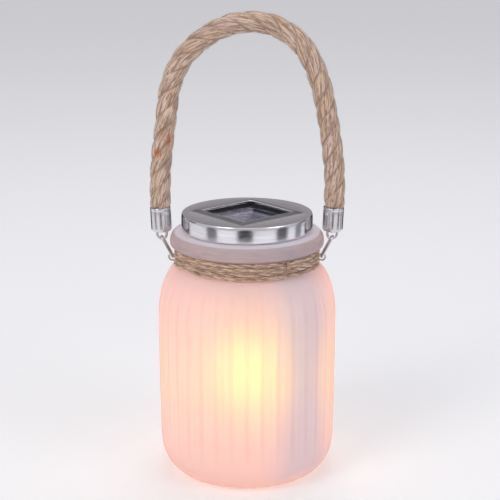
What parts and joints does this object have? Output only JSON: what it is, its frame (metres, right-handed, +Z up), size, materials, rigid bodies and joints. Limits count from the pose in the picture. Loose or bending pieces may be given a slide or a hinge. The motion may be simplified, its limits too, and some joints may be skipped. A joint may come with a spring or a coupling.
{
  "type": "mason jar lantern",
  "caption": "Frosted fluted jar lantern with a push-in solar lid, a flame lamp hanging inside and a rope carry handle on swinging wire links.",
  "frame": {"origin": "centre of the jar's foot, on the surface it stands on", "axes": "+Z up along the jar's axis, +X along the handle's span, -Y towards the front"},
  "size_m": [0.1192, 0.11, 0.2858],
  "materials": {
    "frosted_glass": "frosted, ribbed inside",
    "wire_steel": "bright drawn wire",
    "jute_twine": "hairy two-ply jute",
    "jute_rope": "three-strand jute",
    "ferrule_steel": "rolled satin steel",
    "lid_steel": "spun, circular brushing",
    "black_rubber": "matt",
    "clear_resin": "clear resin",
    "cell_blue": "polycrystalline cell",
    "black_plastic": "moulded",
    "silicone": "translucent silicone",
    "board_green": "solder mask",
    "component_black": "moulded packages",
    "battery_wrap": "shrink sleeve",
    "contact_steel": "nickel plated",
    "screw_steel": "zinc plated",
    "board_white": "white solder mask",
    "led_amber": "lit",
    "flame_frost": "frosted, lit from inside",
    "lead_red": "wire insulation",
    "lead_black": "wire insulation",
    "switch_white": "moulded"
  },
  "bodies": {
    "jar": {"glass_jar": "frosted_glass", "neck_hoop": "wire_steel", "neck_twine": "jute_twine"},
    "left_link": {"left_link": "wire_steel"},
    "right_link": {"right_link": "wire_steel"},
    "handle": {"handle_rope": "jute_rope", "left_ferrule": "ferrule_steel", "right_ferrule": "ferrule_steel", "left_eye": "wire_steel", "right_eye": "wire_steel"},
    "lid": {"lid_cap": "lid_steel", "window_gasket": "black_rubber", "panel_cover": "clear_resin", "solar_cell": "cell_blue", "lid_housing": "black_plastic", "lid_seal": "silicone", "circuit_board": "board_green", "board_parts": "component_black", "battery": "battery_wrap", "battery_spring": "contact_steel", "battery_plate": "contact_steel", "base_cover": "black_plastic", "cover_screws": "screw_steel", "switch_case": "contact_steel", "lamp_stem": "black_plastic", "lamp_collar": "black_plastic", "led_board": "board_white", "leds": "led_amber", "flame_diffuser": "flame_frost", "panel_leads": "lead_red", "lamp_leads": "lead_black", "battery_leads": "lead_red"},
    "battery_door": {"battery_door": "black_plastic", "door_screw": "screw_steel"},
    "switch_slider": {"switch_slider": "switch_white"}
  },
  "joints": [
    {"name": "left_link_swing", "type": "hinge", "parent": "jar", "child": "left_link", "pos_m": [-0.0458, 0, 0.1374], "axis": [1, 0, 0], "range_deg": [-45, 45]},
    {"name": "right_link_swing", "type": "hinge", "parent": "jar", "child": "right_link", "pos_m": [0.0458, 0, 0.1374], "axis": [1, 0, 0], "range_deg": [-45, 45]},
    {"name": "handle_swing", "type": "hinge", "parent": "left_link", "child": "handle", "pos_m": [-0.0521, 0, 0.14726], "axis": [1, 0, 0], "range_deg": [-45, 45]},
    {"name": "lid_lift", "type": "slide", "parent": "jar", "child": "lid", "axis": [0, 0, 1], "range_m": [0, 0.06]},
    {"name": "door_drop", "type": "slide", "parent": "lid", "child": "battery_door", "axis": [0, 0, -1], "range_m": [0, 0.014]},
    {"name": "switch_slide", "type": "slide", "parent": "lid", "child": "switch_slider", "axis": [1, 0, 0], "range_m": [0, 0.0035]}
  ],
  "couplings": [
    {"joint": "right_link_swing", "follows": "left_link_swing", "ratio": 1}
  ]
}
